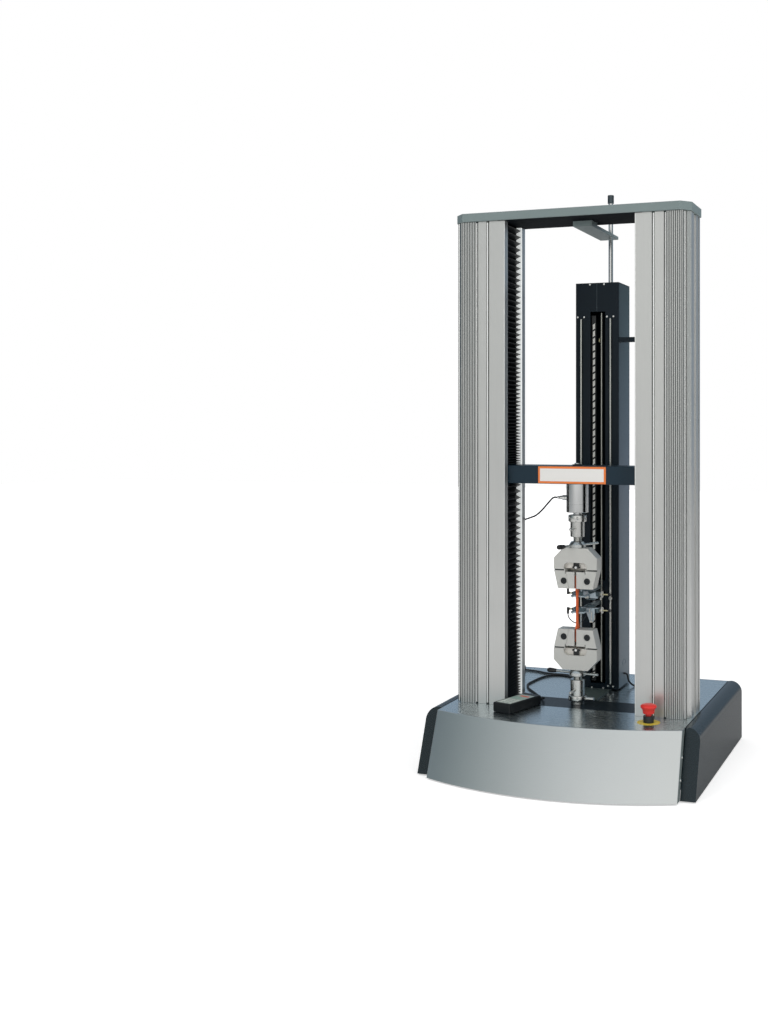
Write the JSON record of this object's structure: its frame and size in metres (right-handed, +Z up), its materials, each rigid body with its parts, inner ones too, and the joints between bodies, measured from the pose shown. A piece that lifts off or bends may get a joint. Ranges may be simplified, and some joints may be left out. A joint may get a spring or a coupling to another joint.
{
  "type": "universal testing machine",
  "caption": "Tensile tester with ribbed columns, moving crosshead with load cell, wedge grips, specimen, extensometer tower, pendant and emergency stop.",
  "frame": {"origin": "centre of the base on the surface that its feet stand on", "axes": "+Z up, -Y towards the operator, +X to the operator's right"},
  "size_m": [0.82, 0.7976, 1.7335],
  "materials": {
    "navy_paint": "fine satin paint, dark navy",
    "grey_paint": "satin paint, grey green",
    "cover_paint": "smooth satin paint, blue black",
    "brushed_sheet": "brushed stainless sheet",
    "anodised": "satin anodised extrusion",
    "turned_steel": "turned and ground steel",
    "polished_steel": "polished",
    "nickel_plate": "dull nickel plate",
    "cast_beam": "painted casting",
    "black_plastic": "fine grained",
    "black_rubber": "matt",
    "red_plastic": "smooth moulded",
    "orange_plastic": "moulded bar",
    "pale_plate": "smooth, bare"
  },
  "bodies": {
    "frame": {"base_tray": "navy_paint", "front_panel": "brushed_sheet", "deck_plate": "brushed_sheet", "side_cover_left": "cover_paint", "side_cover_right": "cover_paint", "rear_panel": "navy_paint", "load_beam": "cast_beam", "drive_motor": "black_plastic", "drive_belt": "black_rubber", "guide_rod_left": "turned_steel", "guide_rod_right": "turned_steel", "column_left": "anodised", "column_right": "anodised", "bellows_upper_left": "black_rubber", "bellows_upper_right": "black_rubber", "bellows_lower_left": "black_rubber", "bellows_lower_right": "black_rubber", "top_cap": "grey_paint", "top_bracket": "grey_paint", "lower_adapter": "turned_steel", "lower_grip": "nickel_plate", "lower_keeper": "black_plastic", "specimen": "orange_plastic", "extensometer_tower": "navy_paint", "extensometer_guide_left": "turned_steel", "extensometer_guide_right": "turned_steel", "extensometer_foot": "brushed_sheet", "stay_rod": "polished_steel", "estop_collar": "black_plastic", "pendant_case": "black_plastic", "pendant_cord": "black_rubber", "extensometer_cord_left": "black_rubber", "extensometer_cord_right": "black_rubber", "load_cell_cord": "black_rubber"},
    "moving_head": {"crosshead": "navy_paint", "nut_block_left": "turned_steel", "nut_block_right": "turned_steel", "name_plate": "pale_plate", "load_cell": "polished_steel", "upper_adapter": "turned_steel", "upper_grip": "nickel_plate", "upper_keeper": "black_plastic"},
    "left_screw": {"ball_screw_left": "turned_steel"},
    "right_screw": {"ball_screw_right": "turned_steel"},
    "drive_pulley": {"motor_pulley": "turned_steel"},
    "upper_ring": {"upper_lock_ring": "turned_steel"},
    "lower_ring": {"lower_lock_ring": "turned_steel"},
    "upper_pin": {"upper_cross_pin": "turned_steel"},
    "lower_pin": {"lower_cross_pin": "turned_steel"},
    "upper_handle": {"upper_lever": "turned_steel", "upper_knob": "black_plastic"},
    "lower_handle": {"lower_lever": "turned_steel", "lower_knob": "black_plastic"},
    "upper_wedge_left": {"upper_jaw_left": "nickel_plate"},
    "upper_wedge_right": {"upper_jaw_right": "nickel_plate"},
    "lower_wedge_left": {"lower_jaw_left": "nickel_plate"},
    "lower_wedge_right": {"lower_jaw_right": "nickel_plate"},
    "upper_arm": {"extensometer_arm_upper": "anodised"},
    "lower_arm": {"extensometer_arm_lower": "anodised"},
    "stop_button": {"estop_head": "red_plastic"}
  },
  "joints": [
    {"name": "crosshead_slide", "type": "slide", "parent": "frame", "child": "moving_head", "axis": [0, 0, 1], "range_m": [0, 0.62], "deforming": ["bellows_upper_left", "bellows_upper_right", "bellows_lower_left", "bellows_lower_right", "load_cell_cord"]},
    {"name": "left_screw_turn", "type": "hinge", "parent": "frame", "child": "left_screw", "pos_m": [-0.268, -0.0542, 0.062], "axis": [0, 0, 1], "continuous": true},
    {"name": "right_screw_turn", "type": "hinge", "parent": "frame", "child": "right_screw", "pos_m": [0.268, -0.0542, 0.062], "axis": [0, 0, 1], "continuous": true},
    {"name": "motor_turn", "type": "hinge", "parent": "frame", "child": "drive_pulley", "pos_m": [0, 0.1758, 0.062], "axis": [0, 0, 1], "continuous": true},
    {"name": "upper_ring_turn", "type": "hinge", "parent": "moving_head", "child": "upper_ring", "pos_m": [0, -0.0542, 0.7253], "axis": [0, 0, 1], "range_deg": [0, 180]},
    {"name": "lower_ring_turn", "type": "hinge", "parent": "frame", "child": "lower_ring", "pos_m": [0, -0.0542, 0.1946], "axis": [0, 0, 1], "range_deg": [0, 180]},
    {"name": "upper_pin_slide", "type": "slide", "parent": "moving_head", "child": "upper_pin", "axis": [0, -1, 0], "range_m": [0, 0.05]},
    {"name": "lower_pin_slide", "type": "slide", "parent": "frame", "child": "lower_pin", "axis": [0, -1, 0], "range_m": [0, 0.05]},
    {"name": "upper_lever_turn", "type": "hinge", "parent": "moving_head", "child": "upper_handle", "pos_m": [0, -0.0542, 0.6483], "axis": [0, 0, 1], "range_deg": [0, 60]},
    {"name": "lower_lever_turn", "type": "hinge", "parent": "frame", "child": "lower_handle", "pos_m": [0, -0.0542, 0.2687], "axis": [0, 0, 1], "range_deg": [0, 60]},
    {"name": "upper_left_jaw_slide", "type": "slide", "parent": "moving_head", "child": "upper_wedge_left", "axis": [-0.1692, 0, 0.9856], "range_m": [0, 0.008]},
    {"name": "upper_right_jaw_slide", "type": "slide", "parent": "moving_head", "child": "upper_wedge_right", "axis": [0.1692, 0, 0.9856], "range_m": [0, 0.008]},
    {"name": "lower_left_jaw_slide", "type": "slide", "parent": "frame", "child": "lower_wedge_left", "axis": [-0.1692, 0, -0.9856], "range_m": [0, 0.008]},
    {"name": "lower_right_jaw_slide", "type": "slide", "parent": "frame", "child": "lower_wedge_right", "axis": [0.1692, 0, -0.9856], "range_m": [0, 0.008]},
    {"name": "upper_arm_slide", "type": "slide", "parent": "frame", "child": "upper_arm", "axis": [0, 0, 1], "range_m": [-0.005, 0.018]},
    {"name": "lower_arm_slide", "type": "slide", "parent": "frame", "child": "lower_arm", "axis": [0, 0, 1], "range_m": [-0.018, 0.005]},
    {"name": "stop_button_press", "type": "slide", "parent": "frame", "child": "stop_button", "axis": [0, 0, -1], "range_m": [0, 0.005], "stiffness_N_per_m": 800, "springref_m": -0.004}
  ],
  "couplings": [
    {"joint": "left_screw_turn", "follows": "crosshead_slide", "rad_per_m": 628.32},
    {"joint": "right_screw_turn", "follows": "crosshead_slide", "rad_per_m": 628.32},
    {"joint": "motor_turn", "follows": "crosshead_slide", "rad_per_m": 1160},
    {"joint": "upper_left_jaw_slide", "follows": "upper_lever_turn", "m_per_rad": 0.0076},
    {"joint": "upper_right_jaw_slide", "follows": "upper_lever_turn", "m_per_rad": 0.0076},
    {"joint": "lower_left_jaw_slide", "follows": "lower_lever_turn", "m_per_rad": 0.0076},
    {"joint": "lower_right_jaw_slide", "follows": "lower_lever_turn", "m_per_rad": 0.0076}
  ]
}
